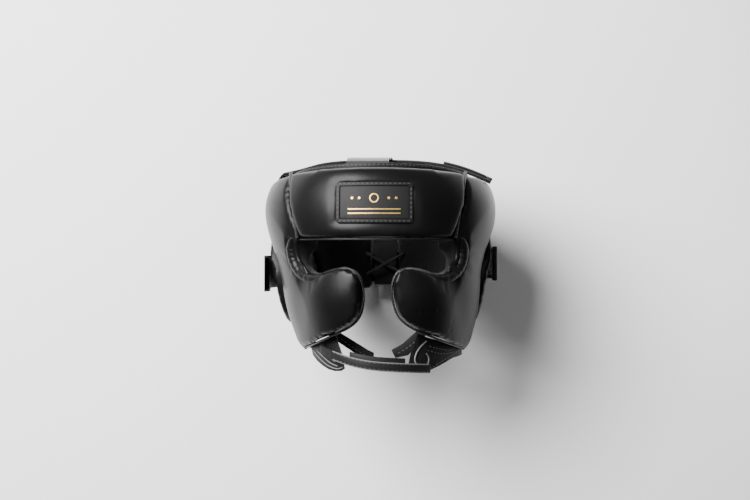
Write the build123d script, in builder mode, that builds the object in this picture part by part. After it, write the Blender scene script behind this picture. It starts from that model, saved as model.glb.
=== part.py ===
"""Boxing headgear with cheek guards: padded leather shell, ear pads, crown straps, lacing and chin strap.

The frame is the worn pose: +Z up, the face towards -Y, the wearer's left hand side towards +X.
The origin is in the middle of the head space, level with the bridge of the nose. Millimetres.
"""

from build123d import *
import math
import os

# Padded wall: plan ellipses at each height, as (z, outer half-width, outer half-depth,
# inner half-width, inner half-depth).
wall_stations = [
    (-92, 83, 107, 60, 89),
    (-60, 90, 116, 68, 96),
    (-20, 99, 122, 76, 101),
    (15, 108, 125, 82, 102),
    (50, 116, 125, 86, 102),
    (76, 111, 120, 86, 101),
    (93, 100, 112, 83, 97),
]
outer_centre_y = -8.0
inner_centre_y = -1.0
reach = 220.0  # longer than any half of the object, for cutting tools

# Leather, lining and foam
skin = 2.0  # cover leather with its backing
lining = 2.0
ease = 0.3  # gap left between layers, and between neighbouring pads

# Outline of the pads
top_edge_line = [(-220, 91), (-118, 91), (0, 80), (130, 75)]  # (y, z) of the upper edge
brow_z = 23.0  # lower edge of the forehead pad
seam_low_angle = 36.0  # seam between forehead and temple, at the brow
seam_high_angle = 49.0  # the same seam at the top edge
eye_half_angle = 41.0
eye_low_z = -2.0
eye_corner = 11.0
join_y = 12.0  # where the temple meets the rear wing
lace_gap = 13.0  # half the gap between the rear wings
wing_low_z = -26.0
jaw_low_z = -90.0

# Ear pads
ear_y, ear_z = 16.0, -17.0
ear_half_y, ear_half_z = 34.0, 48.0
ear_proud = 8.5
ear_widest = 113.4
ear_hole_half_y, ear_hole_half_z = 8.0, 13.0

# Band round the top edge
binding_height = 6.0
binding_thick = 5.0

# Crown straps: (x, z) and (y, z) of the under faces
webbing = 2.0
crown_half_width = 20.0
crown_line = [(-112.2, 77), (-109.6, 82.5), (-87, 91.3), (-62, 98), (-24, 101.6), (24, 101.6), (62, 98),
              (87, 91.3), (108.5, 82.3), (112.4, 80.4)]
crown_tail_start, crown_tail_end = 64.5, 108.0
fore_aft_half_width = 20.5
fore_aft_line = [(-96, 93), (-90, 97), (-58, 101), (-22, 104.1), (22, 104.1), (58, 100), (83, 91), (92, 79)]

# Strap round the back
rear_strap_half_width, rear_strap_half_depth = 115.2, 133.0
rear_strap_thick = 2.4
rear_strap_slope = [(-125, -28), (125, -17), (125, 14), (-125, 3)]  # (x, z) outline seen from the front
rear_tail_y = 62.0

# Chin straps
chin_half_height = 4.4
chin_centre_y = -4.0
chin_half_width, chin_half_depth = 71.0, 95.0  # inner face of the chin tabs
tab_thick = 3.0
chin_thick = 3.0
chin_gap = 1.5  # between tab and strap, where the hook and loop patches sit
inner_strap_y = -60.0

# Patch on the forehead
patch_z = 57.0
patch_width, patch_height = 73.0, 38.5
patch_border = 3.6

# Lacing
eyelet_x = 20.0
eyelet_heights = [-14.0, 8.0, 30.0, 52.0]
eyelet_hole = 3.2
eyelet_bore = 2.2
lace_radius = 1.6
lace_inside_y = 94.6
lace_outside_y = 119.3

os.makedirs("parts", exist_ok=True)


def save(shape, node):
    """Labels a finished piece and writes it as one STEP file."""
    shape.label = node
    export_step(shape, f"parts/{node}.step")


# ---------------------------------------------------------------- shared shapes


def wall_body(width_column, depth_column, centre_y, grow):
    """Solid through the plan ellipses of one side of the wall, grown outwards by grow."""
    with BuildPart() as body:
        for station in wall_stations:
            with BuildSketch(Plane.XY.offset(station[0])):
                with Locations((0, centre_y)):
                    Ellipse(station[width_column] + grow, station[depth_column] + grow)
        loft()
    return body.part


def outer_body(grow=0.0):
    return wall_body(1, 2, outer_centre_y, grow)


def inner_body(grow=0.0):
    return wall_body(3, 4, inner_centre_y, grow)


def ear_body(grow=0.0):
    """Outside of the ear pads: proud of the wall, but no wider than ear_widest."""
    with BuildPart() as body:
        add(outer_body(ear_proud + grow))
        with BuildSketch(Plane.XY.offset(-reach)):
            with Locations((0, outer_centre_y)):
                Ellipse(ear_widest + grow, ear_widest + 16 + grow)
        extrude(amount=2 * reach, mode=Mode.INTERSECT)
    return body.part


def ellipse_band(half_width, half_depth, thick, centre_y, low, high):
    """Upright elliptical band, thick outwards from the given half-axes."""
    with BuildPart() as band:
        with BuildSketch(Plane.XY.offset(low)):
            with Locations((0, centre_y)):
                Ellipse(half_width + thick, half_depth + thick)
                Ellipse(half_width, half_depth, mode=Mode.SUBTRACT)
        extrude(amount=high - low)
    return band.part


def front_prism(points, near_y=0.0, far_y=-reach):
    """Polygon in X and Z, run between two values of Y, far_y being the more negative."""
    with BuildPart() as prism:
        with BuildSketch(Plane.XZ.offset(-near_y)):
            with BuildLine():
                Polyline(*points, close=True)
            make_face()
        extrude(amount=near_y - far_y)
    return prism.part


def side_prism(points, both=True):
    """Polygon in Y and Z, run sideways to +X, or to both sides."""
    with BuildPart() as prism:
        with BuildSketch(Plane.YZ):
            with BuildLine():
                Polyline(*points, close=True)
            make_face()
        extrude(amount=reach, both=both)
    return prism.part


def cuboid(low, high):
    """Box between two corners."""
    with BuildPart() as block:
        with Locations(tuple((a + b) / 2 for a, b in zip(low, high))):
            Box(*[b - a for a, b in zip(low, high)])
    return block.part


def common(*shapes):
    with BuildPart() as kept:
        add(shapes[0])
        for shape in shapes[1:]:
            add(shape, mode=Mode.INTERSECT)
    return kept.part


def without(shape, *tools):
    with BuildPart() as kept:
        add(shape)
        for tool in tools:
            add(tool, mode=Mode.SUBTRACT)
    return kept.part


def mirrored(shape):
    """The same piece for the -X side."""
    return mirror(shape, about=Plane.YZ)


def parallel_points(points, distance):
    """Points of the line a distance to the left of the smooth line through points."""
    with BuildLine() as source:
        line = Spline(*points)
    moved = []
    for step in range(25):
        place, along = line.position_at(step / 24), line.tangent_at(step / 24)
        moved.append((place.X - along.Y * distance, place.Y + along.X * distance))
    return moved


def edge_above(y):
    """Height of the pads' upper edge at y."""
    for (y0, z0), (y1, z1) in zip(top_edge_line, top_edge_line[1:]):
        if y <= y1:
            return z0 + (z1 - z0) * (y - y0) / (y1 - y0)
    return top_edge_line[-1][1]


def lowered_edge(drop):
    return [(y, z - drop) for y, z in top_edge_line]


# ---------------------------------------------------------------- spaces of the pads


def radial_wedge(stations):
    """Wedge from the head's axis towards the face; stations are (z, half-angle, grow)."""
    with BuildPart() as wedge:
        for z, degrees, grow in stations:
            angle = math.radians(degrees)
            apex_y = grow / math.sin(angle)
            half = (reach + apex_y) * math.tan(angle)
            with BuildSketch(Plane.XY.offset(z)):
                with BuildLine():
                    Polyline((0, apex_y), (-half, -reach), (half, -reach), close=True)
                make_face()
        loft(ruled=True)
    return wedge.part


def brow_wedge(grow):
    """Space of the forehead pad, wider at the top."""
    return radial_wedge([(brow_z - grow, seam_low_angle, grow), (92, seam_high_angle, grow)])


def eye_wedge(grow):
    """The eye opening, with rounded outer ends."""
    low, high = eye_low_z - grow, brow_z + grow
    with BuildPart() as wedge:
        add(radial_wedge([(low, eye_half_angle, grow), (high, eye_half_angle, grow)]))
        slanted = [edge for edge in wedge.edges() if abs(edge.tangent_at(0.5).Z) < 0.1
                   and abs(edge.tangent_at(0.5).X) < 0.9]
        fillet(slanted, eye_corner)
    return wedge.part


def mouth_line():
    """Front edge of the cheek guard in X and Z, on the +X side."""
    upper = [(69, 4), (67.5, -5), (62, -10.5), (54, -11.5), (43, -8.5), (30, -4.5), (18, -9), (12, -22)]
    lower = [(11.5, -37), (15, -51), (25, -61), (42, -70), (60, -79), (76, -88)]
    return upper + lower


def mouth_space(grow):
    """Everything in front between the cheek guards and below the eye opening."""
    rim = parallel_points(mouth_line(), grow)
    with BuildPart() as space:
        for near_y, top in ((-58 + grow, 10 + grow), (-20 + grow, -62 + grow)):
            with BuildSketch(Plane.XZ.offset(-near_y)):
                with BuildLine():
                    Spline(*rim)
                    Polyline(rim[-1], (82, -130), (-20, -130), (-20, 20), (rim[0][0], 20), rim[0])
                make_face()
                with Locations((60, top - 100)):
                    Rectangle(120, 200, mode=Mode.INTERSECT)
                mirror(about=Plane.YZ)
            extrude(amount=reach)
    return space.part


def ear_prism(grow, half_y=ear_half_y, half_z=ear_half_z):
    """Oval column through both sides at the ears."""
    with BuildPart() as prism:
        with BuildSketch(Plane.YZ):
            with Locations((ear_y, ear_z)):
                Ellipse(half_y + grow, half_z + grow)
        extrude(amount=reach, both=True)
    return prism.part


def side_half(start_x=0.0):
    """Half-space beyond start_x, towards +X."""
    return cuboid((start_x, -reach, -reach), (reach, reach, reach))


def forehead_space(inset):
    edge = lowered_edge(inset)
    low = brow_z + inset
    return common(brow_wedge(-inset), side_prism([*edge, (130, low), (-reach, low)]))


def cheek_space(inset):
    """Temple and cheek guard of the +X side, as one pad."""
    back = join_y - inset
    low = jaw_low_z + inset
    edge = [point for point in lowered_edge(inset) if point[0] < back]
    jaw = [(back, -54 + 0.62 * inset), (-8 - 0.59 * inset, -64 + 0.82 * inset), (-34 - 0.41 * inset, low)]
    outline = [*edge, (back, edge_above(back) - inset), *jaw, (-reach, low)]
    blank = common(side_prism(outline, both=False), side_half(inset))
    return without(
        blank,
        brow_wedge(ease + inset),
        eye_wedge(inset),
        mouth_space(inset),
        ear_prism(ease + inset),
    )


def wing_space(inset):
    """Rear wing of the +X side, from the ear to the lacing."""
    front = join_y + ease + inset
    low = wing_low_z + inset
    top = [(front, edge_above(front) - inset), (130, edge_above(130) - inset)]
    outline = [*top, (130, low), (72, low - 8), (42, low - 32), (front, low - 34)]
    blank = common(side_prism(outline, both=False), side_half(lace_gap + inset))
    return without(blank, ear_prism(ease + inset))


def ear_space(inset):
    hole = ear_prism(inset, ear_hole_half_y, ear_hole_half_z)
    return common(without(ear_prism(-inset), hole), side_half())


def lace_holes(shape):
    """The shape with the four lace holes of the +X side through it."""
    with BuildPart() as cut:
        add(shape)
        with BuildSketch(Plane.XZ.offset(-140)):
            with Locations(*[(eyelet_x, z) for z in eyelet_heights]):
                Circle(eyelet_hole)
        extrude(amount=80, mode=Mode.SUBTRACT)
    return cut.part


def pad_layers(space, outside=outer_body):
    """Cover, foam and lining of one pad; space(inset) is its outline, outside(grow) its outer side."""
    hollow = common(outside(-skin), space(skin))
    cover = without(common(outside(), space(0)), inner_body(), hollow)
    filling = common(outside(-skin - ease), space(skin + ease))
    foam = without(filling, inner_body(lining + ease))
    liner = common(inner_body(lining), space(skin + ease))
    return {"cover": cover, "foam": foam, "lining": without(liner, inner_body())}


# ---------------------------------------------------------------- padded pieces

for layer, shape in pad_layers(forehead_space).items():
    save(shape, f"forehead_{layer}")

for layer, shape in pad_layers(cheek_space).items():
    save(shape, f"cheek_{layer}_left")
    save(mirrored(shape), f"cheek_{layer}_right")

for layer, shape in pad_layers(wing_space).items():
    laced = lace_holes(shape)
    save(laced, f"rear_{layer}_left")
    save(mirrored(laced), f"rear_{layer}_right")

for layer, shape in pad_layers(ear_space, ear_body).items():
    save(shape, f"ear_{layer}_left")
    save(mirrored(shape), f"ear_{layer}_right")

# Bound band standing on the upper edge, open at the lacing
binding_outline = [(y, z + 0.3) for y, z in top_edge_line] + [
    (y, z + binding_height) for y, z in reversed(top_edge_line)
]
binding_ring = ellipse_band(86, 100, binding_thick, inner_centre_y, 60, 110)
lacing_slot = cuboid((-lace_gap, 60, 0), (lace_gap, 140, 120))
save(without(common(binding_ring, side_prism(binding_outline)), lacing_slot), "crown_binding")

# ---------------------------------------------------------------- patch on the forehead


def patch_outline(width, height, corner):
    with BuildPart() as outline:
        with BuildSketch(Plane.XZ.offset(60)):
            with Locations((0, patch_z)):
                RectangleRounded(width, height, corner)
        extrude(amount=reach)
    return outline.part


def on_forehead(inner, outer):
    """Thin layer over the outside of the wall."""
    return without(outer_body(outer), outer_body(inner))


field_width = patch_width - 2 * patch_border
field_height = patch_height - 2 * patch_border
frame_ring = without(
    patch_outline(patch_width, patch_height, 3),
    patch_outline(field_width + 0.6, field_height + 0.6, 1.5),
)
save(common(on_forehead(0.15, 2.4), frame_ring), "patch_frame")
save(common(on_forehead(0.15, 1.2), patch_outline(field_width, field_height, 1.2)), "forehead_patch")

with BuildPart() as ornament_columns:
    with BuildSketch(Plane.XZ.offset(60)):
        with Locations((0, patch_z - 6.5), (0, patch_z - 10.5)):
            Rectangle(50, 1.4)
        with Locations((0, patch_z + 4)):
            Circle(4.6)
            Circle(3.2, mode=Mode.SUBTRACT)
        with Locations((-14, patch_z + 4), (14, patch_z + 4), (-21, patch_z + 4), (21, patch_z + 4)):
            Circle(1.3)
    extrude(amount=reach)
save(common(on_forehead(1.25, 1.7), ornament_columns.part), "patch_ornament")

# ---------------------------------------------------------------- crown straps


def strap_along(plane, points, inner, outer, half_width):
    """Strap between two offsets of a line drawn on a plane, centred on it sideways."""
    under, over = parallel_points(points, inner), parallel_points(points, outer)
    with BuildPart() as strap:
        with BuildSketch(plane):
            with BuildLine():
                Spline(*under)
                Line(under[-1], over[-1])
                Spline(*over)
                Line(over[0], under[0])
            make_face()
        extrude(amount=half_width, both=True)
    return strap.part


tail_top = 2 * webbing + 0.5
tail_reach = cuboid((crown_tail_start, -reach, 0), (crown_tail_end, reach, 200))
fold_reach = cuboid((crown_tail_end + 0.3, -reach, 0), (reach, reach, 200))
crown_layers = strap_along(Plane.XZ, crown_line, 0, tail_top, crown_half_width)
crown_single = strap_along(Plane.XZ, crown_line, 0, webbing, crown_half_width)
save(crown_single + common(crown_layers, fold_reach), "crown_strap")
crown_upper = strap_along(Plane.XZ, crown_line, webbing + 0.5, tail_top, crown_half_width)
save(common(crown_upper, tail_reach), "crown_strap_tail")
save(strap_along(Plane.YZ, fore_aft_line, 0, webbing, fore_aft_half_width), "fore_aft_strap")

# ---------------------------------------------------------------- strap round the back


def rear_band(inner, thick, rise=0.0):
    """The rear strap's band, grown up and down by rise."""
    low = [(x, z - rise) for x, z in rear_strap_slope[:2]]
    high = [(x, z + rise) for x, z in rear_strap_slope[2:]]
    band = ellipse_band(
        rear_strap_half_width + inner, rear_strap_half_depth + inner, thick, outer_centre_y, -60, 60
    )
    return common(band, front_prism(low + high, reach, -reach))


strap_ring = rear_band(0, rear_strap_thick)
tail_side = cuboid((0, -4, -60), (reach, rear_tail_y, 60))
fixed_side = cuboid((-reach, -10, -60), (0, reach, 60)) + cuboid((-1, rear_tail_y + 0.3, -60), (reach, reach, 60))
save(common(strap_ring, fixed_side), "rear_strap")
pull_tab = common(rear_band(rear_strap_thick, 1.6, 2), cuboid((0, -6, -60), (reach, 9, 60)))
tail_end = common(rear_band(0, rear_strap_thick, 2), cuboid((0, -6, -60), (reach, 9, 60)))
save(common(strap_ring, tail_side) + tail_end + pull_tab, "rear_strap_tail")
save(common(rear_band(-0.6, 0.5, -4), cuboid((0, -3, -60), (reach, 28, 60))), "rear_hook_patch")
loop_layer = without(ear_body(0.6), ear_body(0.1))
loop_area = cuboid((60, 1, -14), (reach, 31, 12))
save(common(loop_layer, without(loop_area, ear_prism(1.5, ear_hole_half_y, ear_hole_half_z))), "rear_loop_patch")

keeper_block = common(rear_band(-1.0, rear_strap_thick + 2.8, 3), cuboid((-reach, -16, -60), (0, -2, 60)))
keeper_slot = common(rear_band(-0.3, rear_strap_thick + 0.6, 0.3), cuboid((-reach, -reach, -60), (0, reach, 60)))
save(without(keeper_block, keeper_slot), "rear_strap_keeper")

# ---------------------------------------------------------------- lacing


wall_outside = outer_body()
with BuildPart() as eyelets:
    for z in eyelet_heights:
        hits = wall_outside.find_intersection_points(Axis((eyelet_x, 0, z), (0, 1, 0)))
        surface, normal = max(hits, key=lambda hit: hit[0].Y)
        face = Plane(origin=surface, z_dir=normal)
        with BuildSketch(face.offset(0.4)):
            Circle(5)
            Circle(eyelet_bore, mode=Mode.SUBTRACT)
        extrude(amount=0.8)
        with BuildSketch(face.offset(-0.6)):
            Circle(2.8)
            Circle(eyelet_bore, mode=Mode.SUBTRACT)
        extrude(amount=1.1)
    mirror(about=Plane.YZ)
save(eyelets.part, "lace_eyelets")


def lace_strand(side, bow):
    """One strand from the bottom bar to the knot; bow sets its crossings further inside."""
    z1, z2, z3, z4 = eyelet_heights
    x = eyelet_x * side
    outside, inside = lace_outside_y, lace_inside_y
    low_cross = [(0, inside - bow, (z1 + z2) / 2)] if bow else []
    high_cross = [(0, inside - bow, (z3 + z4) / 2)] if bow else []
    return [
        (0, outside, z1), (x, outside, z1), (x, inside, z1), *low_cross,
        (-x, inside, z2), (-x, outside, z2), (-x, outside, z3), (-x, inside, z3),
        *high_cross, (x, inside, z4), (x, outside, z4), (0, outside + 1.5, z4 + 1),
    ]


def lace_half(side, bow):
    """One strand of the lace, round in section."""
    with BuildPart() as strand:
        with BuildLine() as route:
            FilletPolyline(*lace_strand(side, bow), radius=2.4)
        with BuildSketch(Plane(origin=route.line @ 0, z_dir=route.line % 0)):
            Circle(lace_radius)
        sweep(path=route.line)
    return strand.part


knot = Box(9, 6.5, 7.5)
knot = fillet(knot.edges(), 1.6)
knot = Pos(0, lace_outside_y + 1.2, eyelet_heights[3] + 1) * knot
lace = lace_half(1, 0) + lace_half(-1, 3.7) + knot
save(lace, "lace")

with BuildPart() as gusset:
    with BuildSketch(Plane.XZ.offset(-103.5)):
        with Locations((0, 24)):
            Rectangle(2 * lace_gap - 1.2, 100)
    extrude(amount=-4)
save(gusset.part, "lace_gusset")

# ---------------------------------------------------------------- chin

tab_front = cuboid((-reach, -reach, -reach), (reach, -22, reach))


def chin_layer(gap, thick):
    """Band of the chin, gap outside the inner face of the tabs."""
    return ellipse_band(chin_half_width + gap, chin_half_depth + gap, thick, chin_centre_y, -120, -50)


def chin_tab(points, gap, thick):
    below_pads = common(chin_layer(gap, thick), mouth_space(-ease))
    return common(below_pads, front_prism(points), tab_front)


tab_left_outline = [(43, -60), (90, -60), (90, -84), (83, -87), (74, -93.5), (66, -95.5), (57, -102), (49, -107),
                    (43, -108), (36, -106), (30.5, -100), (33, -88)]
tab_right_outline = [(-44, -60), (-90, -60), (-90, -86), (-68, -87), (-66, -93), (-60.5, -98), (-54, -102),
                     (-47, -105), (-41, -106), (-34, -105.5), (-30.5, -103), (-31, -100), (-33, -90)]
save(chin_tab(tab_left_outline, 0, tab_thick), "chin_tab_left")
save(chin_tab(tab_right_outline, 0, tab_thick), "chin_tab_right")

flap_left_outline = [(50, -60), (90, -60), (90, -86), (72, -91), (58, -97), (49, -96), (48, -86)]
flap_right_outline = [(-x, z) for x, z in flap_left_outline]
save(chin_tab(flap_left_outline, -2.2, 1.9), "chin_flap_left")
save(chin_tab(flap_right_outline, -2.2, 1.9), "chin_flap_right")


def chin_piece(gap, thick, outline):
    """Part of the chin's band whose front view is the outline."""
    return common(chin_layer(gap, thick), front_prism(outline))


def chin_rise(x):
    """Height of the chin strap's middle line: it hangs lower on the +X side."""
    return -99.6 - 0.075 * x + (0.0028 * (x - 4) ** 2 if x < 4 else 0)


def chin_outline(low_x, high_x, half_height):
    steps = [low_x + (high_x - low_x) * step / 6 for step in range(7)]
    return [(x, chin_rise(x) - half_height) for x in steps] + [
        (x, chin_rise(x) + half_height) for x in reversed(steps)
    ]


strap_offset = tab_thick + chin_gap
save(chin_piece(strap_offset, chin_thick, chin_outline(-44, 52, chin_half_height)), "chin_strap")
back_outline = [(x, z + 4.5) for x, z in chin_outline(-26, 28, chin_half_height)]
save(chin_piece(0.4, 2.4, back_outline), "chin_strap_back")
foot = chin_piece(strap_offset, chin_thick, chin_outline(-56, -44.3, chin_half_height))
stitched = chin_piece(tab_thick + 0.1, chin_gap - 0.1, chin_outline(-54, -47, chin_half_height - 1.5))
save(foot + stitched, "chin_strap_foot")
patch_area = chin_outline(35, 48, chin_half_height - 1.5)
save(chin_piece(tab_thick + 0.1, 0.5, patch_area), "chin_loop_patch")
save(chin_piece(strap_offset - 0.6, 0.5, patch_area), "chin_hook_patch")


def inner_strap(points, low_y):
    return front_prism(points, low_y + 2.5, low_y)


inner_left_outline = [(44, -63), (51, -68), (30, -92), (17, -95), (13, -87), (24, -81)]
inner_right_outline = [(-44, -66), (-51, -72), (-12, -97.5), (-5, -97), (-4, -90), (-10, -87)]
save(inner_strap(inner_left_outline, inner_strap_y), "inner_chin_strap_left")
save(inner_strap(inner_right_outline, inner_strap_y), "inner_chin_strap_right")
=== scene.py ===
import math
import bmesh
import bpy
from mathutils import Matrix, Vector, noise


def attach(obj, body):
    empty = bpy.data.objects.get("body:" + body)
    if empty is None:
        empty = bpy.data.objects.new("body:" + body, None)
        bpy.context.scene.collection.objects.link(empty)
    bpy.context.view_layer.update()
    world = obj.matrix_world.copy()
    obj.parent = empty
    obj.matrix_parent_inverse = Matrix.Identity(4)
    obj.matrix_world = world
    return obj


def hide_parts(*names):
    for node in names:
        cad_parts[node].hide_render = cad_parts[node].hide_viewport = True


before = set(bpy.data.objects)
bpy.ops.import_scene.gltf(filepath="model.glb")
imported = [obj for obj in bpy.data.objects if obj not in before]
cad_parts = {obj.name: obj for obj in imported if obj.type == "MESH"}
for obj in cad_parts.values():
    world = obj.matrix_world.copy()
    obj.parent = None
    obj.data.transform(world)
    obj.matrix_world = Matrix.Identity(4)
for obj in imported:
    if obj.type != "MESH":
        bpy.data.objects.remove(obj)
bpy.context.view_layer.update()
scene = bpy.context.scene
shell = "headgear"


sides = ((1, "left"), (-1, "right"))


def report(stage):
    print("stage:", stage)


def clearSelection():
    if bpy.context.object and bpy.context.object.mode != "OBJECT":
        bpy.ops.object.mode_set(mode="OBJECT")
    bpy.ops.object.select_all(action="DESELECT")


def activate(piece):
    clearSelection()
    piece.select_set(True)
    bpy.context.view_layer.objects.active = piece
    return piece


# camera, straight in front of the face
view = {"distance": 1.5, "azimuth": 3.0, "aside": -0.0062, "height": 0.012, "lens": 69.8}
turn = math.radians(view["azimuth"])
clearSelection()
bpy.ops.object.camera_add(
    location=(
        view["aside"] + view["distance"] * math.sin(turn),
        -view["distance"] * math.cos(turn),
        view["height"],
    ),
    rotation=(math.pi / 2, 0, turn),
)
camera = bpy.context.object
camera.data.lens = view["lens"]
camera.data.sensor_width = 36
camera.data.clip_start = 0.02
scene.camera = camera
report("camera")


# shader building blocks
class Wire:
    def __init__(self, tree, socket):
        self.tree = tree
        self.socket = socket

    def combine(self, operation, first, second):
        node = self.tree.nodes.new("ShaderNodeMath")
        node.operation = operation
        for plug, value in zip(node.inputs, (first, second)):
            if isinstance(value, Wire):
                self.tree.links.new(value.socket, plug)
            else:
                plug.default_value = value
        return Wire(self.tree, node.outputs[0])

    def __add__(self, other):
        return self.combine("ADD", self, other)

    def __sub__(self, other):
        return self.combine("SUBTRACT", self, other)

    def __rsub__(self, other):
        return self.combine("SUBTRACT", other, self)

    def __mul__(self, other):
        return self.combine("MULTIPLY", self, other)

    def __pow__(self, other):
        return self.combine("POWER", self, other)

    def atLeast(self, other):
        return self.combine("MAXIMUM", self, other)

    def atMost(self, other):
        return self.combine("MINIMUM", self, other)


class Finish:
    def __init__(self, name, constants):
        self.material = bpy.data.materials.new(name)
        self.material.use_nodes = True
        self.tree = self.material.node_tree
        self.tree.nodes.clear()
        self.output = self.tree.nodes.new("ShaderNodeOutputMaterial")
        self.shader = self.tree.nodes.new("ShaderNodeBsdfPrincipled")
        self.tree.links.new(self.shader.outputs[0], self.output.inputs["Surface"])
        for socket, value in constants.items():
            self.shader.inputs[socket].default_value = value

    def node(self, kind, settings=None, inputs=None, take=0):
        made = self.tree.nodes.new(kind)
        for name, value in (settings or {}).items():
            setattr(made, name, value)
        for name, value in (inputs or {}).items():
            if isinstance(value, Wire):
                self.tree.links.new(value.socket, made.inputs[name])
            else:
                made.inputs[name].default_value = value
        return Wire(self.tree, made.outputs[take])

    def feed(self, socket, wire):
        self.tree.links.new(wire.socket, self.shader.inputs[socket])

    def place(self):
        return self.node("ShaderNodeTexCoord", take="Object")

    def mixColour(self, factor, first, second):
        return self.node("ShaderNodeMix", {"data_type": "RGBA"}, {0: factor, 6: first, 7: second}, 2)

    def bump(self, height, strength, distance, below=None):
        inputs = {"Strength": strength, "Distance": distance, "Height": height}
        if below:
            inputs["Normal"] = below
        return self.node("ShaderNodeBump", None, inputs)


# smooth black leather with a fine grain, soft creases and paler rubbed places
def leatherFinish(name, look):
    finish = Finish(name, {"Specular IOR Level": look["specular"]})
    place = finish.place()
    pebbles = finish.node(
        "ShaderNodeTexVoronoi", {"feature": "DISTANCE_TO_EDGE"}, {"Vector": place, "Scale": look["grain"]}
    )
    pores = finish.node(
        "ShaderNodeTexNoise", None, {"Vector": place, "Scale": look["grain"] * 2.3, "Detail": 3.0}
    )
    creases = finish.node(
        "ShaderNodeTexNoise", None, {"Vector": place, "Scale": 75.0, "Detail": 5.0, "Distortion": 1.2}
    )
    clouds = finish.node("ShaderNodeTexNoise", None, {"Vector": place, "Scale": 22.0, "Detail": 3.0})
    grainHeight = pebbles.atMost(0.22) * 3.0 + pores * 0.5
    creaseHeight = 1 - ((creases - 0.5) * 6.0) ** 2.0
    fine = finish.bump(grainHeight, look["grainDepth"], 0.00022)
    soft = finish.bump(creaseHeight.atLeast(0.0), look["creaseDepth"], 0.0006, fine)
    finish.feed("Normal", soft)
    finish.feed("Roughness", clouds * 0.16 + look["roughness"] - 0.08 + pores * 0.05)
    tint = finish.mixColour(clouds, look["dark"], look["light"])
    rubbed = finish.node("ShaderNodeNewGeometry", take="Pointiness")
    worn = (rubbed - 0.53) * 9.0
    finish.feed("Base Color", finish.mixColour(worn.atLeast(0.0).atMost(0.5), tint, look["worn"]))
    return finish.material


# woven strap, its ribs running along one axis of the object
def webbingFinish(name, look):
    finish = Finish(name, {"Specular IOR Level": 0.35})
    place = finish.place()
    across = finish.node(
        "ShaderNodeTexWave", {"wave_type": "BANDS", "bands_direction": look["rib"]},
        {"Vector": place, "Scale": look["ribScale"], "Distortion": 0.4, "Detail": 1.0, "Detail Scale": 3.0},
    )
    along = finish.node(
        "ShaderNodeTexWave", {"wave_type": "BANDS", "bands_direction": look["thread"]},
        {"Vector": place, "Scale": look["ribScale"] * 1.7, "Distortion": 0.3},
    )
    fuzz = finish.node("ShaderNodeTexNoise", None, {"Vector": place, "Scale": 900.0, "Detail": 4.0})
    height = across * 0.7 + along * 0.4 + fuzz * 0.5
    finish.feed("Normal", finish.bump(height, 0.55, 0.0004))
    finish.feed("Roughness", fuzz * 0.2 + look["roughness"] - 0.1)
    finish.feed("Base Color", finish.mixColour(height * 0.6, look["dark"], look["light"]))
    return finish.material


# brushed lining and looped fabric
def fabricFinish(name, look):
    finish = Finish(
        name, {"Specular IOR Level": 0.25, "Sheen Weight": look["sheen"], "Sheen Roughness": 0.5}
    )
    place = finish.place()
    loops = finish.node("ShaderNodeTexVoronoi", None, {"Vector": place, "Scale": look["loops"]})
    fuzz = finish.node("ShaderNodeTexNoise", None, {"Vector": place, "Scale": 420.0, "Detail": 5.0})
    patches = finish.node("ShaderNodeTexNoise", None, {"Vector": place, "Scale": 30.0, "Detail": 2.0})
    height = loops * 0.8 + fuzz * 0.6
    finish.feed("Normal", finish.bump(height, 0.6, 0.0005))
    finish.feed("Roughness", fuzz * 0.1 + 0.85)
    mottle = (fuzz * 0.6 + patches * 0.5).atMost(1.0)
    finish.feed("Base Color", finish.mixColour(mottle, look["dark"], look["light"]))
    return finish.material


# thread, cut edges, foil and painted metal
def plainFinish(name, look):
    finish = Finish(name, {"Metallic": look.get("metal", 0.0), "Specular IOR Level": 0.5})
    place = finish.place()
    speckle = finish.node(
        "ShaderNodeTexNoise", None, {"Vector": place, "Scale": look.get("speckle", 600.0), "Detail": 4.0}
    )
    broad = finish.node("ShaderNodeTexNoise", None, {"Vector": place, "Scale": 60.0, "Detail": 2.0})
    finish.feed("Normal", finish.bump(speckle, look.get("depth", 0.2), 0.0002))
    finish.feed("Roughness", broad * 0.2 + look["roughness"] - 0.1)
    finish.feed("Base Color", finish.mixColour(speckle * 0.6 + broad * 0.4, look["dark"], look["light"]))
    return finish.material


padLeather = leatherFinish("padLeather", {
    "grain": 820.0, "grainDepth": 0.12, "creaseDepth": 0.02, "roughness": 0.31, "specular": 0.13,
    "dark": (0.0034, 0.0033, 0.0034, 1),
    "light": (0.0056, 0.0054, 0.0055, 1),
    "worn": (0.010, 0.0097, 0.0097, 1),
})
rollLeather = leatherFinish("rollLeather", {
    "grain": 820.0, "grainDepth": 0.14, "creaseDepth": 0.10, "roughness": 0.34, "specular": 0.16,
    "dark": (0.0034, 0.0033, 0.0034, 1),
    "light": (0.0056, 0.0054, 0.0055, 1),
    "worn": (0.011, 0.0107, 0.0107, 1),
})
strapLeather = leatherFinish("strapLeather", {
    "grain": 950.0, "grainDepth": 0.25, "creaseDepth": 0.12, "roughness": 0.48, "specular": 0.16,
    "dark": (0.0060, 0.0058, 0.0060, 1),
    "light": (0.0105, 0.0102, 0.0104, 1),
    "worn": (0.035, 0.034, 0.033, 1),
})
patchLeather = leatherFinish("patchLeather", {
    "grain": 1100.0, "grainDepth": 0.3, "creaseDepth": 0.02, "roughness": 0.5, "specular": 0.16,
    "dark": (0.0075, 0.0073, 0.0076, 1),
    "light": (0.012, 0.0117, 0.012, 1),
    "worn": (0.02, 0.0195, 0.0195, 1),
})
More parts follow.
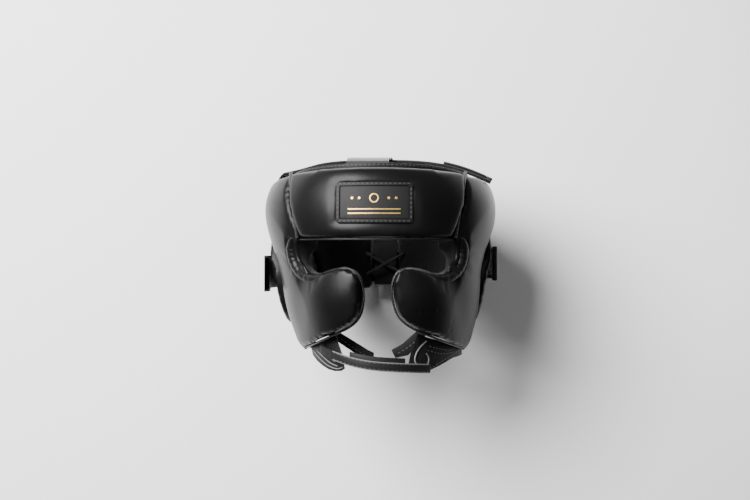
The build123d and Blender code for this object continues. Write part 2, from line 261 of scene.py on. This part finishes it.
pipingLeather = leatherFinish("pipingLeather", {
    "grain": 1300.0, "grainDepth": 0.15, "creaseDepth": 0.05, "roughness": 0.33, "specular": 0.3,
    "dark": (0.0055, 0.0054, 0.0055, 1),
    "light": (0.0090, 0.0088, 0.0089, 1),
    "worn": (0.022, 0.0215, 0.021, 1),
})
# dark lining fabric; the same material also serves as painted shade on the eye slot's walls and inside the
# keeper loop's opening
liningAndPaintedShade = fabricFinish("liningAndPaintedShade", {
    "loops": 700.0, "sheen": 0.03, "dark": (0.0018, 0.0018, 0.0019, 1), "light": (0.0050, 0.0050, 0.0053, 1),
})
loopFabric = fabricFinish("loopFabric", {
    "loops": 1100.0, "sheen": 0.4, "dark": (0.03, 0.03, 0.031, 1), "light": (0.075, 0.075, 0.077, 1),
})
crownWebbing = webbingFinish("crownWebbing", {
    "rib": "Y", "thread": "X", "ribScale": 190.0, "roughness": 0.7,
    "dark": (0.006, 0.006, 0.0062, 1), "light": (0.02, 0.02, 0.0205, 1),
})
threadFinish = plainFinish("thread", {
    "roughness": 0.6, "dark": (0.03, 0.03, 0.03, 1), "light": (0.07, 0.069, 0.068, 1), "speckle": 1500.0,
})
paleThread = plainFinish("paleThread", {
    "roughness": 0.55, "dark": (0.10, 0.098, 0.095, 1), "light": (0.17, 0.165, 0.16, 1), "speckle": 1500.0,
})
goldFoil = plainFinish("goldFoil", {
    "metal": 0.85, "roughness": 0.38, "depth": 0.35, "dark": (0.42, 0.25, 0.06, 1),
    "light": (0.78, 0.52, 0.17, 1),
})
blackMetal = plainFinish("blackMetal", {
    "metal": 0.6, "roughness": 0.4, "dark": (0.03, 0.03, 0.03, 1), "light": (0.05, 0.05, 0.05, 1),
})
report("finishes")


def dress(piece, material, body=shell):
    piece.data.materials.clear()
    piece.data.materials.append(material)
    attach(piece, body)
    return piece


def smoothShade(piece, degrees=None):
    activate(piece)
    if degrees is None:
        bpy.ops.object.shade_smooth()
    else:
        bpy.ops.object.shade_smooth_by_angle(angle=math.radians(degrees))
    return piece


# one welded copy of some of the frame's nodes, ready to be reworked
def weldedCopy(name, nodes):
    copies = []
    for node in nodes:
        copy = bpy.data.objects.new(name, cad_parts[node].data.copy())
        scene.collection.objects.link(copy)
        copies.append(copy)
    clearSelection()
    for copy in copies:
        copy.select_set(True)
    bpy.context.view_layer.objects.active = copies[0]
    if len(copies) > 1:
        bpy.ops.object.join()
    piece = bpy.context.object
    bpy.ops.object.mode_set(mode="EDIT")
    bpy.ops.mesh.select_all(action="SELECT")
    bpy.ops.mesh.remove_doubles(threshold=0.00001)
    bpy.ops.object.mode_set(mode="OBJECT")
    piece.name = name
    piece.data.name = name
    return piece


def applyModifier(piece, name, kind, settings):
    modifier = piece.modifiers.new(name, kind)
    for key, value in settings.items():
        setattr(modifier, key, value)
    activate(piece)
    bpy.ops.object.modifier_apply(modifier=name)
    return piece


# keeps the outer skin and drops what the remesh leaves inside
def keepLargestIsland(piece):
    mesh = bmesh.new()
    mesh.from_mesh(piece.data)
    unseen = set(mesh.verts)
    islands = []
    while unseen:
        queue = [unseen.pop()]
        island = list(queue)
        while queue:
            for edge in queue.pop().link_edges:
                for vertex in edge.verts:
                    if vertex in unseen:
                        unseen.remove(vertex)
                        queue.append(vertex)
                        island.append(vertex)
        islands.append(island)
    islands.sort(key=len)
    bmesh.ops.delete(mesh, geom=[vertex for island in islands[:-1] for vertex in island], context="VERTS")
    mesh.to_mesh(piece.data)
    mesh.free()
    return piece


# cloth under light pressure, held near its pattern
def puff(piece, pressure, cap):
    start = [vertex.co.copy() for vertex in piece.data.vertices]
    modifier = piece.modifiers.new("puff", "CLOTH")
    modifier.settings.quality = 4
    modifier.settings.use_pressure = True
    modifier.settings.uniform_pressure_force = pressure
    modifier.settings.effector_weights.gravity = 0
    modifier.collision_settings.use_collision = False
    modifier.collision_settings.use_self_collision = False
    for step in range(1, 21):
        scene.frame_set(step)
    activate(piece)
    bpy.ops.object.modifier_apply(modifier="puff")
    scene.frame_set(1)
    for vertex, before in zip(piece.data.vertices, start):
        move = vertex.co - before
        if move.length > cap:
            vertex.co = before + move.normalized() * cap
    return piece


# outer face of the padded wall: half-width and half-depth at each height
wall = {
    "heights": [-0.092, -0.060, -0.020, 0.015, 0.050, 0.076, 0.093],
    "widths": [0.083, 0.090, 0.099, 0.108, 0.116, 0.111, 0.100],
    "depths": [0.107, 0.116, 0.122, 0.125, 0.125, 0.120, 0.112],
    "centre": -0.008,
}


def between(rows, heights, z):
    last = len(heights) - 2
    low = max(i for i in range(last + 1) if i == 0 or heights[i] <= z)
    share = (z - heights[low]) / (heights[low + 1] - heights[low])
    before = rows[max(low - 1, 0)]
    after = rows[min(low + 2, last + 1)]
    first, second = rows[low], rows[low + 1]
    bend = 2 * first + (second - before) * share
    bend += (2 * before - 5 * first + 4 * second - after) * share ** 2
    bend += (3 * first - before - 3 * second + after) * share ** 3
    return bend / 2


def onWall(x, z, out=0.0, front=True):
    width = between(wall["widths"], wall["heights"], z) + out
    depth = between(wall["depths"], wall["heights"], z) + out
    reachY = depth * math.sqrt(max(1 - (x / width) ** 2, 0.0))
    return Vector((x, wall["centre"] - reachY if front else wall["centre"] + reachY, z))


def wallNormal(point):
    width = between(wall["widths"], wall["heights"], point.z)
    depth = between(wall["depths"], wall["heights"], point.z)
    return Vector((point.x / width ** 2, (point.y - wall["centre"]) / depth ** 2, 0)).normalized()


def bell(distance, size):
    return math.exp(-(distance / size) ** 2)


# the padded pieces
padSettings = {"voxel": 0.0028, "smoothing": 12, "pressure": 4.0, "cap": 0.0022}


def padPiece(name, nodes, voxel=padSettings["voxel"], smoothing=padSettings["smoothing"]):
    piece = weldedCopy(name, nodes)
    applyModifier(piece, "remesh", "REMESH", {"mode": "VOXEL", "voxel_size": voxel})
    keepLargestIsland(piece)
    applyModifier(piece, "soften", "SMOOTH", {"factor": 0.5, "iterations": smoothing})
    puff(piece, padSettings["pressure"], padSettings["cap"])
    return piece


# the same pad for the other side, before either is reshaped
def mirroredPad(name, pad):
    piece = pad.copy()
    piece.data = pad.data.copy()
    piece.name = name
    piece.data.name = name
    scene.collection.objects.link(piece)
    piece.data.transform(Matrix.Diagonal((-1, 1, 1, 1)))
    piece.data.flip_normals()
    return piece


def finishPad(piece, nodes, reshape=None):
    if reshape:
        piece.data.update()
        for vertex in piece.data.vertices:
            vertex.co += reshape(vertex.co.copy(), vertex.normal.copy())
    applyModifier(piece, "finer", "SUBSURF", {"levels": 1, "render_levels": 1})
    smoothShade(piece)
    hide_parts(*nodes)
    dress(piece, padLeather, shell)
    lineInside(piece, liningAndPaintedShade)
    return piece


# the inner faces carry the lining fabric; the eye slot's side walls get the dark lining too, as painted
# shade
def lineInside(piece, lining):
    piece.data.materials.append(lining)
    for face in piece.data.polygons:
        outward = Vector((face.center.x, face.center.y - wall["centre"], 0)).normalized()
        ratio = onWall(0, face.center.z).y - wall["centre"]
        width = between(wall["widths"], wall["heights"], face.center.z)
        place = math.hypot(face.center.x / width, (face.center.y - wall["centre"]) / ratio)
        inSlot = -0.022 < face.center.z < 0.0240 and abs(face.center.x) < 0.092
        # eye slot side walls: the dark lining is laid on them as painted shade
        slotWallPaintedShade = inSlot and face.center.y < -0.04
        if (face.normal.dot(outward) < -0.25 and place < 0.93) or (slotWallPaintedShade and place < 0.945):
            face.material_index = 1


# the brow is fullest in the middle and lies flat behind its patch
browLook = {"crown": 0.0022, "dimple": 0.0010, "ripple": 0.0007, "recess": 0.0024, "patchHeight": 0.057}


def browShape(place, normal):
    outward = wallNormal(place)
    facing = min(max(normal.dot(outward) * 1.8, 0.0), 1.0)
    wide, high = abs(place.x), abs(place.z - browLook["patchHeight"])
    crown = bell(place.z - 0.052, 0.042) * bell(place.x, 0.09) * browLook["crown"]
    dimple = bell(max(wide - 0.0365, 0.0), 0.005) * bell(max(high - 0.019, 0.0), 0.004) * browLook["dimple"]
    ripple = noise.noise(place * 26.0) * browLook["ripple"]
    underPatch = bell(max(wide - 0.033, 0.0), 0.002) * bell(max(high - 0.016, 0.0), 0.002)
    lift = (crown + ripple) * (1 - underPatch) - dimple - underPatch * browLook["recess"]
    return outward * facing * lift


# the wearer's left jaw spreads out a little more than the right one
def sway(place):
    forward = min(max((0.03 - place.y) / 0.07, 0.0), 1.0)
    if place.x > 0:
        low = min(max((0.012 - place.z) / 0.100, 0.0), 1.0)
        return 0.0105 * low * forward
    return 0.0022 * forward * bell(place.x + 0.030, 0.024) * bell(place.z + 0.036, 0.036)


lobeLook = {"bulge": 0.0072, "valley": 0.0018, "pleat": 0.0003, "ripple": 0.0005, "tuck": 0.0055}


def cheekShape(side):
    lobe = Vector((side * 0.038, 0.0, -0.034))

    def shape(place, normal):
        outward = wallNormal(place)
        facing = min(max(normal.dot(outward) * 1.8, 0.0), 1.0)
        wide = abs(place.x)
        bulge = valley = pleat = 0.0
        if place.y < 0:
            bulge = bell(place.x - lobe.x, 0.031) * bell(place.z - lobe.z, 0.030) * lobeLook["bulge"]
            valley = bell(wide - 0.076, 0.012) * bell(place.z + 0.045, 0.035) * lobeLook["valley"]
        if place.y <= -0.03 and place.z >= -0.012 and wide >= 0.055:
            around = math.atan2(place.z - 0.008, wide - 0.058)
            away = math.hypot(place.z - 0.008, wide - 0.058)
            waves = math.sin(around * 15.0 + noise.noise(place * 50.0) * 2.5)
            pleat = waves * bell(away - 0.032, 0.006) * lobeLook["pleat"]
        ripple = noise.noise(place * 17.0 + Vector((side * 3.0, 0, 0))) * lobeLook["ripple"]
        hem = max(-0.076 - place.z, 0.0) / 0.014
        tuck = outward * hem ** 2 * lobeLook["tuck"]
        return outward * facing * (bulge - valley + pleat + ripple) - tuck + Vector((sway(place), 0, 0))

    return shape


def plainShape(place, normal):
    outward = wallNormal(place)
    return outward * max(normal.dot(outward), 0.0) * noise.noise(place * 24.0) * 0.0010


browNodes = ["forehead_cover", "forehead_foam", "forehead_lining"]
finishPad(padPiece("browPad", browNodes), browNodes, browShape)
report("brow pad")

sidePads = {"cheek": {"voxel": 0.0028, "smoothing": 12}, "rear": {"voxel": 0.003, "smoothing": 9},
            "ear": {"voxel": 0.0025, "smoothing": 12}}
for part, grid in sidePads.items():
    layers = ("cover", "foam", "lining")
    nodes = {word: [f"{part}_{layer}_{word}" for layer in layers] for word in ("left", "right")}
    rightPad = padPiece(part + "Pad.right", nodes["right"], grid["voxel"], grid["smoothing"])
    leftPad = mirroredPad(part + "Pad.left", rightPad)
    for pad, side, word in ((rightPad, -1, "right"), (leftPad, 1, "left")):
        shape = {"cheek": cheekShape(side), "rear": plainShape, "ear": None}[part]
        finishPad(pad, nodes[word], shape)
    report(part + " pads")
cordFinish = webbingFinish("cordBraid", {
    "rib": "DIAGONAL", "thread": "X", "ribScale": 330.0, "roughness": 0.75,
    "dark": (0.008, 0.008, 0.008, 1), "light": (0.035, 0.035, 0.036, 1),
})
# pale edge colour: the leather's cut edges, and also a painted highlight where it rings the keeper loop
edgeAndHighlightFinish = plainFinish("cutEdgeAndHighlight", {
    "roughness": 0.6, "dark": (0.09, 0.088, 0.085, 1), "light": (0.15, 0.147, 0.142, 1), "speckle": 1500.0,
})


# a copy of CAD nodes with its sharp edges rounded over
def softCopy(name, nodes, material, body, width=0.0007):
    piece = weldedCopy(name, nodes)
    activate(piece)
    bpy.ops.object.mode_set(mode="EDIT")
    bpy.ops.mesh.select_all(action="SELECT")
    bpy.ops.mesh.dissolve_limited(angle_limit=math.radians(1.0))
    bpy.ops.object.mode_set(mode="OBJECT")
    applyModifier(piece, "edges", "BEVEL", {
        "width": width, "segments": 3, "limit_method": "ANGLE", "angle_limit": math.radians(38),
        "use_clamp_overlap": True,
    })
    smoothShade(piece, 35)
    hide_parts(*nodes)
    return dress(piece, material, body)


# smooth run of points through a few chosen ones
def smoothRun(points, count):
    points = [Vector(point) for point in points]
    steps = [0.0]
    for first, second in zip(points, points[1:]):
        steps.append(steps[-1] + (second - first).length)
    run = []
    for index in range(count):
        far = steps[-1] * index / (count - 1)
        low = max(i for i in range(len(points) - 1) if steps[i] <= far + 1e-9)
        share = (far - steps[low]) / (steps[low + 1] - steps[low])
        first, second = points[low], points[low + 1]
        before = points[max(low - 1, 0)]
        after = points[min(low + 2, len(points) - 1)]
        bend = 2 * first + (second - before) * share
        bend += (2 * before - 5 * first + 4 * second - after) * share ** 2
        bend += (3 * first - before - 3 * second + after) * share ** 3
        run.append(bend / 2)
    return run


# the same, through front-view points (x, z)
def frontRun(points, count):
    return smoothRun([(x, 0, z) for x, z in points], count)


# round tube along a run of points, its radius given by a formula of the share along it
def tubeAlong(name, run, radius, sides=12):
    curve = bpy.data.curves.new(name, "CURVE")
    curve.dimensions = "3D"
    curve.bevel_depth = 1.0
    curve.bevel_resolution = sides // 4
    curve.use_fill_caps = True
    spline = curve.splines.new("POLY")
    spline.points.add(len(run) - 1)
    for index, place in enumerate(run):
        spline.points[index].co = (*place, 1)
        spline.points[index].radius = radius(index / (len(run) - 1))
    piece = bpy.data.objects.new(name, curve)
    scene.collection.objects.link(piece)
    activate(piece)
    bpy.ops.object.convert(target="MESH")
    piece = bpy.context.object
    piece.name = name
    piece.data.name = name
    return smoothShade(piece, 60)


# nearest point of a piece's face as seen from outside
def landOn(piece, start, toward):
    hit, place, normal, _ = piece.ray_cast(Vector(start), Vector(toward).normalized())
    return (place, normal) if hit else (None, None)


def frontPoint(piece, x, z):
    return landOn(piece, (x, -0.3, z), (0, 1, 0))


# one stitch, copied along rows of places with their directions
stitchSize = {"length": 0.0030, "thick": 0.0007, "gap": 0.0014}
clearSelection()
bpy.ops.mesh.primitive_uv_sphere_add(segments=8, ring_count=6, radius=0.5)
oneStitch = bpy.context.object
oneStitch.name = "oneStitch"


def sewRow(name, run, normals, material, body=shell, thick=None, length=None):
    thick = thick or stitchSize["thick"]
    length = length or stitchSize["length"]
    pitch = length + stitchSize["gap"]
    copies = []
    carried = pitch / 2
    for index in range(len(run) - 1):
        along = run[index + 1] - run[index]
        size = along.length
        while carried < size:
            place = run[index] + along * (carried / size)
            up = normals[index].normalized()
            forward = along.normalized()
            aside = up.cross(forward).normalized()
            up = forward.cross(aside).normalized()
            turned = Matrix((forward, aside, up)).transposed().to_4x4()
            shape = Matrix.Diagonal((length, thick, thick * 0.8, 1))
            copy = oneStitch.copy()
            copy.data = oneStitch.data.copy()
            copy.data.transform(Matrix.Translation(place) @ turned @ shape)
            scene.collection.objects.link(copy)
            copies.append(copy)
            carried += pitch
        carried -= size
    if not copies:
        return None
    clearSelection()
    for copy in copies:
        copy.select_set(True)
    bpy.context.view_layer.objects.active = copies[0]
    bpy.ops.object.join()
    row = bpy.context.object
    row.name = name
    row.data.name = name
    smoothShade(row)
    return dress(row, material, body)


# stitches along front-view points, laid on a piece
def sewOn(piece, name, points, material, count=60, body=shell, lift=0.0001, thick=None, length=None):
    run, normals = [], []
    for place in frontRun(points, count):
        spot, normal = frontPoint(piece, place.x, place.z)
        if spot is not None:
            run.append(spot + normal * lift)
            normals.append(normal)
    return sewRow(name, run, normals, material, body, thick, length) if len(run) > 1 else None


# gathered rolls at the ends of the eye slot
roll = {
    "route": [(0.0825, 0.0235), (0.0830, 0.0165), (0.0820, 0.008), (0.0795, -0.001), (0.0745, -0.0095),
              (0.0660, -0.0150), (0.0560, -0.0150), (0.0485, -0.0120)],
    "wide": 0.0070, "narrow": 0.0050, "proud": 0.0024, "pleat": 0.00042, "rough": 0.00012, "steps": 72,
}


def rollRadius(share):
    body = roll["wide"] + (roll["narrow"] - roll["wide"]) * min(max((share - 0.3) / 0.5, 0.0), 1.0)
    taper = min(share / 0.14, 1.0) ** 0.5 * min((1 - share) / 0.22, 1.0) ** 0.5
    return max(body * taper, 0.0008)


for side, word in sides:
    flat = frontRun(roll["route"], roll["steps"])
    run = []
    for index, place in enumerate(flat):
        radius = rollRadius(index / (roll["steps"] - 1))
        spot = onWall(side * place.x, place.z, roll["proud"] * min(radius / roll["wide"], 1.0) - radius)
        run.append(spot + Vector((sway(spot), 0, 0)))
    eyeRoll = tubeAlong("eyeRoll." + word, run, rollRadius, 20)
    for vertex in eyeRoll.data.vertices:
        nearest = min(range(roll["steps"]), key=lambda index: (run[index] - vertex.co).length_squared)
        outward = (vertex.co - run[nearest]).normalized()
        share = nearest / (roll["steps"] - 1)
        wobble = noise.noise(vertex.co * 90.0) * 1.6
        swell = min(share / 0.1, (1 - share) / 0.15, 1.0)
        pleat = (abs(math.sin(share * 34.0 + wobble + side)) ** 0.6 - 1) * roll["pleat"] * swell
        vertex.co += outward * (pleat + noise.noise(vertex.co * 130.0) * roll["rough"])
    applyModifier(eyeRoll, "finer", "SUBSURF", {"levels": 1, "render_levels": 1})
    smoothShade(eyeRoll)
    dress(eyeRoll, rollLeather)
report("eye rolls")

# piping around the lobes with stitches beside it, and along the brow
piping = {
    "lobe": [(0.0500, -0.0150), (0.0440, -0.0092), (0.0300, -0.0052), (0.0190, -0.0096), (0.0128, -0.0220),
             (0.0120, -0.0370), (0.0155, -0.0510), (0.0250, -0.0612), (0.0420, -0.0702), (0.0600, -0.0790),
             (0.0720, -0.0850)],
    "radius": 0.0011, "behind": 0.0060,
}
for side, word in sides:
    flat = frontRun(piping["lobe"], 90)
    run = [onWall(side * place.x, place.z, -piping["behind"]) for place in flat]
    run = [place + Vector((sway(place), 0, 0)) for place in run]
    lobePiping = tubeAlong("lobePiping." + word, run, lambda share: piping["radius"], 12)
    dress(lobePiping, pipingLeather)
    normals = [wallNormal(place) for place in run]
    beside = [place + normal * 0.0010 for place, normal in zip(run, normals)]
    sewRow("lobeStitches." + word, beside, normals, threadFinish, shell, 0.0006, 0.0022)
brow = {"z": 0.0222, "reach": 0.080, "behind": 0.0050, "radius": 0.0008, "steps": 80}
run = []
for step in range(brow["steps"] + 1):
    run.append(onWall(brow["reach"] * (2 * step / brow["steps"] - 1), brow["z"], -brow["behind"]))
browPiping = tubeAlong("browPiping", run, lambda share: brow["radius"], 12)
dress(browPiping, pipingLeather)
report("piping")

# crown binding; its two rows of stitches follow its slanted upper edge
crownBinding = softCopy("crownBinding", ["crown_binding"], strapLeather, shell, 0.0010)


def edgeLine(y):
    rows = [(-0.220, 0.091), (-0.118, 0.091), (0.0, 0.080), (0.130, 0.075)]
    for (y0, z0), (y1, z1) in zip(rows, rows[1:]):
        if y <= y1:
            return z0 + (z1 - z0) * (y - y0) / (y1 - y0)
    return rows[-1][1]


bindingRows = {"rises": (0.0016, 0.0046), "steps": 220, "sweep": 330, "halfWidth": 0.088, "halfDepth": 0.102}
for row, rise in enumerate(bindingRows["rises"]):
    run, normals = [], []
    for step in range(bindingRows["steps"] + 1):
        turn = math.radians(-90 + bindingRows["sweep"] * (step / bindingRows["steps"] - 0.5))
        across, deep = bindingRows["halfWidth"] * math.cos(turn), bindingRows["halfDepth"] * math.sin(turn)
        guess = Vector((across, deep, 0))
        height = edgeLine(guess.y) + rise
        spot, normal = landOn(crownBinding, guess * 1.5 + Vector((0, 0, height)), -guess)
        if spot is not None and (not run or (spot - run[-1]).length < 0.02):
            run.append(spot + normal * 0.0001)
            normals.append(normal)
    sewRow(f"crownStitches.{row}", run, normals, threadFinish)
report("crown binding")

# patch on the brow: raised frame stitched all round, field and foil ornament
patchFrame = softCopy("patchFrame", ["patch_frame"], strapLeather, shell, 0.0009)
softCopy("patchField", ["forehead_patch"], patchLeather, shell, 0.0004)
softCopy("ornament", ["patch_ornament"], goldFoil, shell, 0.0002)
for name, z, reach in (("upper", 0.0748, 0.0345), ("lower", 0.0392, 0.0345)):
    row = [(-reach, z), (-reach / 2, z), (reach / 2, z), (reach, z)]
    sewOn(patchFrame, "frameStitches." + name, row, threadFinish)
for name, x in (("left", 0.0347), ("right", -0.0347)):
    row = [(x, 0.041), (x, 0.05), (x, 0.064), (x, 0.073)]
    sewOn(patchFrame, "frameStitches." + name, row, threadFinish)

# cords in the slanted seams between the brow and the cheeks
seam = {
    "route": [(0.0862, 0.0885), (0.0838, 0.0720), (0.0800, 0.0480), (0.0762, 0.0240)],
    "behind": 0.0024, "radius": 0.0018, "stitchLift": 0.0019,
}
for side, word in sides:
    flat = frontRun(seam["route"], 60)
    run = [onWall(side * place.x, place.z, -seam["behind"]) for place in flat]
    seamCord = tubeAlong("seamCord." + word, run, lambda share: seam["radius"], 12)
    dress(seamCord, pipingLeather)
    lifted = [place + wallNormal(place) * seam["stitchLift"] for place in run]
    normals = [wallNormal(place) for place in run]
    sewRow("seamStitches." + word, lifted, normals, threadFinish, shell, 0.0006, 0.0024)
report("patch")

# straps
crownStrap = softCopy("crownStrap", ["crown_strap"], crownWebbing, shell, 0.0006)
for vertex in crownStrap.data.vertices:
    if vertex.co.x < -0.098:
        vertex.co.x = -0.098 + (vertex.co.x + 0.098) * 0.45
softCopy("crownStrapTail", ["crown_strap_tail"], crownWebbing, "crown_strap_end", 0.0006)
foreAft = softCopy("foreAftStrap", ["fore_aft_strap"], crownWebbing, shell, 0.0006)
for vertex in foreAft.data.vertices:
    vertex.co.x -= 0.0085
foreAft.data.materials.append(loopFabric)
for face in foreAft.data.polygons:
    face.material_index = 1 if face.normal.z > 0.3 and face.center.z > 0.098 else 0
softCopy("rearStrap", ["rear_strap"], strapLeather, shell, 0.0010)
softCopy("rearStrapTail", ["rear_strap_tail"], strapLeather, "rear_strap_end", 0.0010)
softCopy("rearStrapKeeper", ["rear_strap_keeper"], strapLeather, shell, 0.0014)
softCopy("rearHookPatch", ["rear_hook_patch"], loopFabric, "rear_strap_end", 0.0001)
softCopy("rearLoopPatch", ["rear_loop_patch"], loopFabric, shell, 0.0001)
report("straps")

# lacing at the back
softCopy("lace", ["lace"], cordFinish, shell, 0.0001)
softCopy("laceEyelets", ["lace_eyelets"], blackMetal, shell, 0.0003)
softCopy("laceGusset", ["lace_gusset"], strapLeather, shell, 0.0008)
report("lacing")

# chin tabs, flaps and straps with their sewn edges
tabLeft = softCopy("chinTab.left", ["chin_tab_left"], strapLeather, shell, 0.0009)
tabRight = softCopy("chinTab.right", ["chin_tab_right"], strapLeather, shell, 0.0009)
flapLeft = softCopy("chinFlap.left", ["chin_flap_left"], strapLeather, shell, 0.0007)
softCopy("chinFlap.right", ["chin_flap_right"], strapLeather, shell, 0.0007)
chinStrap = softCopy("chinStrap", ["chin_strap"], strapLeather, "chin_strap", 0.0009)
softCopy("chinStrapBack", ["chin_strap_back"], strapLeather, "chin_strap", 0.0008)
softCopy("chinStrapFoot", ["chin_strap_foot"], strapLeather, shell, 0.0007)
softCopy("chinHookPatch", ["chin_hook_patch"], loopFabric, "chin_strap", 0.0001)
softCopy("chinLoopPatch", ["chin_loop_patch"], loopFabric, shell, 0.0001)
innerStraps = {}
for side, word in sides:
    body = "inner_chin_strap_" + word
    innerStraps[word] = softCopy("innerChinStrap." + word, [body], strapLeather, body, 0.0008)
# the left tab spreads with its jaw
for piece in (tabLeft, flapLeft):
    for vertex in piece.data.vertices:
        vertex.co.x += 0.0105 * min(max((vertex.co.x - 0.050) / 0.021, 0.0), 1.0)
    piece.data.update()
tabRows = {
    "leftHem": [(0.0800, -0.0885), (0.0690, -0.0945), (0.0600, -0.0995), (0.0510, -0.1040),
                (0.0430, -0.1050)],
    "leftBand": [(0.0790, -0.0850), (0.0700, -0.0872), (0.0600, -0.0850), (0.0500, -0.0815)],
    "leftBandLow": [(0.0740, -0.0895), (0.0660, -0.0905), (0.0580, -0.0890), (0.0490, -0.0860)],
}
for name, row in tabRows.items():
    sewOn(tabLeft, "tabStitches." + name, row, paleThread, 70, shell, 0.0001, 0.0006)


# thin pale line laid along a row of front-view points on a piece: pale cut edges on the tabs and strap, and
# a painted highlight round the keeper loop
def paleEdge(piece, name, points, radius=0.00055, body=shell, count=60):
    run = []
    for place in frontRun(points, count):
        spot, normal = frontPoint(piece, place.x, place.z)
        if spot is not None:
            run.append(spot + normal * radius * 0.3)
    edge = tubeAlong(name, run, lambda share: radius, 8)
    return dress(edge, edgeAndHighlightFinish, body)


# layered folds of the right tab
folds = [
    [(-0.0650, -0.0885), (-0.0560, -0.0960), (-0.0480, -0.1010), (-0.0390, -0.1035), (-0.0330, -0.1020)],
    [(-0.0600, -0.0880), (-0.0520, -0.0940), (-0.0450, -0.0985), (-0.0380, -0.1010)],
    [(-0.0540, -0.0870), (-0.0470, -0.0925), (-0.0400, -0.0970)],
    [(-0.0470, -0.0850), (-0.0420, -0.0885), (-0.0360, -0.0915)],
]
for index, fold in enumerate(folds):
    paleEdge(tabRight, f"foldEdge.{index}", fold)

# keeper loop on the left tab: a pale line round it as painted highlight, and a flat dark sheet inside as
# painted shade for the opening
loopRow = [(0.0480, -0.0770), (0.0425, -0.0820), (0.0385, -0.0880), (0.0370, -0.0950), (0.0400, -0.1000),
           (0.0450, -0.1010), (0.0495, -0.0985), (0.0500, -0.0930), (0.0480, -0.0890)]
paleEdge(tabLeft, "loopRimHighlight", loopRow, 0.0008)
opening = {"middle": (0.0438, -0.0925), "half": (0.0048, 0.0066)}
spot, normal = frontPoint(tabLeft, *opening["middle"])
clearSelection()
# flattened dark sphere lying on the tab: painted shade standing in for the hollow of the opening
bpy.ops.mesh.primitive_uv_sphere_add(segments=28, ring_count=14, radius=1)
openingShadeSheet = bpy.context.object
openingShadeSheet.name = "loopOpeningPaintedShade"
aim = normal.to_track_quat("Y", "Z").to_matrix().to_4x4()
openingShadeSheet.data.transform(Matrix.Diagonal((opening["half"][0], 0.0006, opening["half"][1], 1)))
openingShadeSheet.data.transform(Matrix.Translation(spot) @ aim)
smoothShade(openingShadeSheet)
dress(openingShadeSheet, liningAndPaintedShade)
for name, drop in (("upper", 0.0030), ("lower", -0.0030)):
    row = []
    for step in range(9):
        x = -0.0425 + 0.0930 * step / 8
        sag = 0.0028 * (x * 1000 - 4) ** 2 / 1000 if x < 0.004 else 0.0
        row.append((x, -0.0996 - 0.075 * x + sag + drop))
    sewOn(chinStrap, "chinStitches." + name, row, threadFinish, 80, "chin_strap", 0.0001, 0.0006)
    edgeRow = [(x, z + (0.0010 if drop > 0 else -0.0010)) for x, z in row]
    paleEdge(chinStrap, "chinEdge." + name, edgeRow, 0.0004 if drop < 0 else 0.0006, "chin_strap", 80)
innerRows = {
    "left": [(0.046, -0.0685), (0.036, -0.0790), (0.027, -0.0860), (0.0175, -0.0912)],
    "right": [(-0.045, -0.0705), (-0.034, -0.0780), (-0.020, -0.0880), (-0.009, -0.0935)],
}
for word, row in innerRows.items():
    body = "inner_chin_strap_" + word
    sewOn(innerStraps[word], "innerStitches." + word, row, paleThread, 40, body, 0.0001, 0.0006)
bpy.data.objects.remove(oneStitch)
report("chin")


# a pale board behind with a painted pool of light: brightest round one spot and painted darker away from it
# as painted shade, and clear when seen from its back
board = {
    "width": 5.0, "height": 5.0, "behind": 0.128, "paintedLightMiddle": (-0.14, 0.128, 0.05),
    "colour": (0.93, 0.912, 0.925, 1), "far": (0.08, 0.08, 0.08, 1),
}
clearSelection()
bpy.ops.mesh.primitive_plane_add(size=1, location=(0, board["behind"], 0), rotation=(math.pi / 2, 0, 0))
backBoard = bpy.context.object
backBoard.name = "backBoard"
backBoard.scale = (board["width"], board["height"], 1)
bpy.ops.object.transform_apply(location=True, rotation=True, scale=True)
boardFinish = Finish("paleBoard", {"Roughness": 0.75, "Specular IOR Level": 0.2})
away = boardFinish.node(
    "ShaderNodeVectorMath", {"operation": "DISTANCE"}, {0: boardFinish.place(), 1: board["paintedLightMiddle"]}, 1
)
# painted shade: the board's colour darkens with distance from the painted bright spot
paintedFalloff = ((away - 0.52) * 1.3).atLeast(0.0).atMost(0.85)
boardFinish.feed("Base Color", boardFinish.mixColour(paintedFalloff, board["colour"], board["far"]))
clear = boardFinish.node("ShaderNodeBsdfTransparent")
backSide = boardFinish.node("ShaderNodeNewGeometry", take="Backfacing")
solid = Wire(boardFinish.tree, boardFinish.shader.outputs[0])
mixed = boardFinish.node("ShaderNodeMixShader", None, {0: backSide, 1: solid, 2: clear})
boardFinish.tree.links.new(mixed.socket, boardFinish.output.inputs["Surface"])
backBoard.data.materials.append(boardFinish.material)
backBoard.visible_shadow = False

# soft key from the upper left, a wide weak fill, and a lamp for the back
lamps = [
    {"name": "keyLamp", "at": (-1.0, -1.4, 0.85), "size": 1.5, "power": 160.0},
    {"name": "fillLamp", "at": (0.7, -2.0, 0.5), "size": 1.4, "power": 5.0},
    {"name": "backLamp", "at": (0.6, 1.7, 0.9), "size": 1.4, "power": 22.0},
]
for lamp in lamps:
    clearSelection()
    aim = (Vector((0, 0, 0)) - Vector(lamp["at"])).to_track_quat("-Z", "Y").to_euler()
    bpy.ops.object.light_add(type="AREA", location=lamp["at"], rotation=aim)
    light = bpy.context.object
    light.name = lamp["name"]
    light.data.shape = "DISK"
    light.data.size = lamp["size"]
    light.data.energy = lamp["power"]

room = bpy.data.worlds.new("room")
scene.world = room
room.use_nodes = True
room.node_tree.nodes["Background"].inputs["Color"].default_value = (0.93, 0.93, 0.95, 1)
room.node_tree.nodes["Background"].inputs["Strength"].default_value = 0.10
report("lights")
